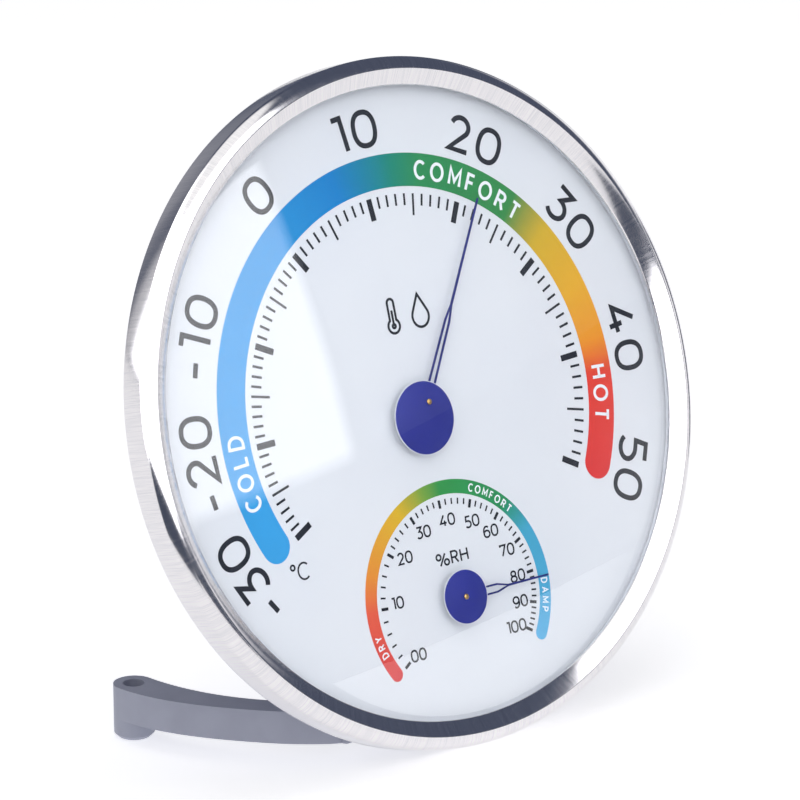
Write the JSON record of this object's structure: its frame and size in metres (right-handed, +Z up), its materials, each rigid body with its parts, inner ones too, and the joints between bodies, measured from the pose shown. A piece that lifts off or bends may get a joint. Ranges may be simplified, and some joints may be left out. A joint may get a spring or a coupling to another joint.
{
  "type": "dial hygrometer",
  "caption": "Round dial thermometer and hygrometer in a steel bezel, leaning back on a folding bail stand, with spiral-strip movements inside.",
  "frame": {"origin": "centre of the bounding box on the surface that it stands on", "axes": "+X to the right as seen from the front of the dial, +Y towards the back where the stand is, +Z up"},
  "size_m": [0.13, 0.0541, 0.1259],
  "materials": {
    "stainless_steel": "finely brushed along the ring, near mirror",
    "clear_lens": "clear polished",
    "white_spacer": "satin white",
    "printed_dial": "matte printed, pale bluish white with a coloured band",
    "grey_plastic": "fine moulded matte",
    "navy_hand": "satin dark navy",
    "blue_hub": "satin royal blue",
    "brass": "turned",
    "zinc_steel": "zinc plated",
    "bimetal_strip": "rolled strip",
    "humidity_strip": "steel strip with a moisture-sensitive coat on one side"
  },
  "bodies": {
    "case": {"bezel_ring": "stainless_steel", "lens": "clear_lens", "lens_spacer": "white_spacer", "dial_plate": "printed_dial", "rear_cover": "grey_plastic", "movement_plate": "zinc_steel", "plate_screw_1": "zinc_steel", "plate_screw_2": "zinc_steel", "plate_screw_3": "zinc_steel", "plate_screw_4": "zinc_steel", "thermo_front_bush": "brass", "thermo_rear_bush": "brass", "hygro_front_bush": "brass", "hygro_rear_bush": "brass"},
    "thermo_trim": {"thermo_adjuster": "zinc_steel", "thermo_coil": "bimetal_strip"},
    "thermo_hand": {"thermo_arbor": "brass", "thermo_collet": "brass", "thermo_pointer": "navy_hand", "thermo_hub_disc": "blue_hub"},
    "hygro_trim": {"hygro_adjuster": "zinc_steel", "hygro_coil": "humidity_strip"},
    "hygro_hand": {"hygro_arbor": "brass", "hygro_collet": "brass", "hygro_pointer": "navy_hand", "hygro_hub_disc": "blue_hub"},
    "stand": {"stand_bail": "grey_plastic", "hinge_pin": "zinc_steel"}
  },
  "joints": [
    {"name": "thermo_adjust", "type": "hinge", "parent": "case", "child": "thermo_trim", "pos_m": [0, -0.00456, 0.06307], "axis": [0, -0.9558, 0.294], "range_deg": [-12, 12]},
    {"name": "thermo_turn", "type": "hinge", "parent": "thermo_trim", "child": "thermo_hand", "pos_m": [0, -0.00456, 0.06307], "axis": [0, -0.9558, 0.294], "range_deg": [-87.8, 149.4], "stiffness_Nm_per_rad": 0.0005, "deforming": ["thermo_coil"]},
    {"name": "hygro_adjust", "type": "hinge", "parent": "case", "child": "hygro_trim", "pos_m": [0, -0.01552, 0.02745], "axis": [0, -0.9558, 0.294], "range_deg": [-12, 12]},
    {"name": "hygro_turn", "type": "hinge", "parent": "hygro_trim", "child": "hygro_hand", "pos_m": [0, -0.01552, 0.02745], "axis": [0, -0.9558, 0.294], "range_deg": [-31.7, 213.7], "stiffness_Nm_per_rad": 0.0003, "deforming": ["hygro_coil"]},
    {"name": "stand_fold", "type": "hinge", "parent": "case", "child": "stand", "pos_m": [0, -0.01385, 0.00702], "axis": [1, 0, 0], "range_deg": [0, 72.9]}
  ]
}
